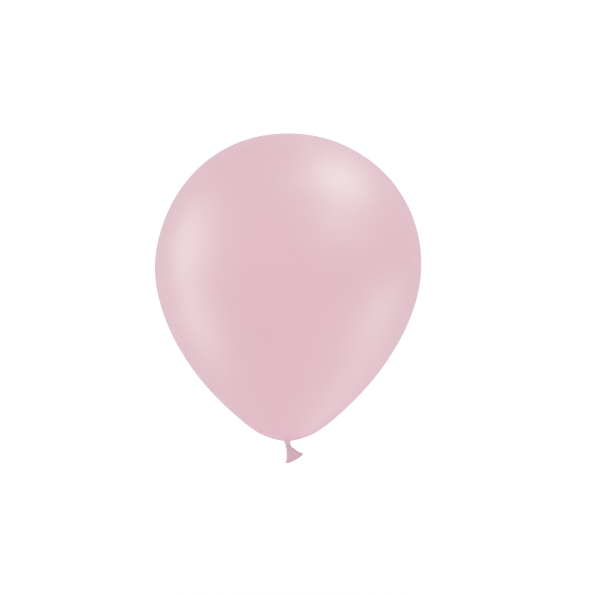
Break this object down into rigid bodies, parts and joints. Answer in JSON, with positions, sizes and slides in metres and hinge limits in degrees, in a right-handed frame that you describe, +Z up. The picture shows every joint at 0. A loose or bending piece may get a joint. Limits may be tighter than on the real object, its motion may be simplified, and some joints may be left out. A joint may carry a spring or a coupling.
{
  "type": "latex balloon",
  "caption": "Inflated matte pink latex balloon, knotted at its neck, with a short flared tail and rolled lip.",
  "frame": {"origin": "the throat, the point on the axis where the neck leaves the inflated skin and a ribbon is tied", "axes": "+Z up the balloon's axis from the neck to the crown; +X towards the side that the tail leans to; -Y is the front"},
  "size_m": [0.2999, 0.3, 0.3707],
  "materials": {
    "stretched_latex": "satin",
    "thick_latex": "satin"
  },
  "bodies": {
    "balloon": {"inflated_skin": "stretched_latex", "neck_gather": "stretched_latex"},
    "neck": {"neck_stem": "thick_latex"},
    "knot": {"knot_core": "thick_latex", "knot_turn": "thick_latex"},
    "tail": {"tail_sleeve": "thick_latex", "rolled_lip": "thick_latex"}
  },
  "joints": [
    {"name": "neck_fore_aft", "type": "hinge", "parent": "balloon", "child": "neck", "pos_m": [0, 0, 0], "axis": [1, 0, 0], "range_deg": [-35, 35], "stiffness_Nm_per_rad": 0.0001},
    {"name": "knot_side", "type": "hinge", "parent": "neck", "child": "knot", "pos_m": [0, 0, -0.0034], "axis": [0, 1, 0], "range_deg": [-22, 35], "stiffness_Nm_per_rad": 0.0001},
    {"name": "tail_flap", "type": "hinge", "parent": "knot", "child": "tail", "pos_m": [0.00125, 0, -0.00765], "axis": [0.8616, 0, 0.5075], "range_deg": [-45, 45], "stiffness_Nm_per_rad": 0.00005}
  ]
}
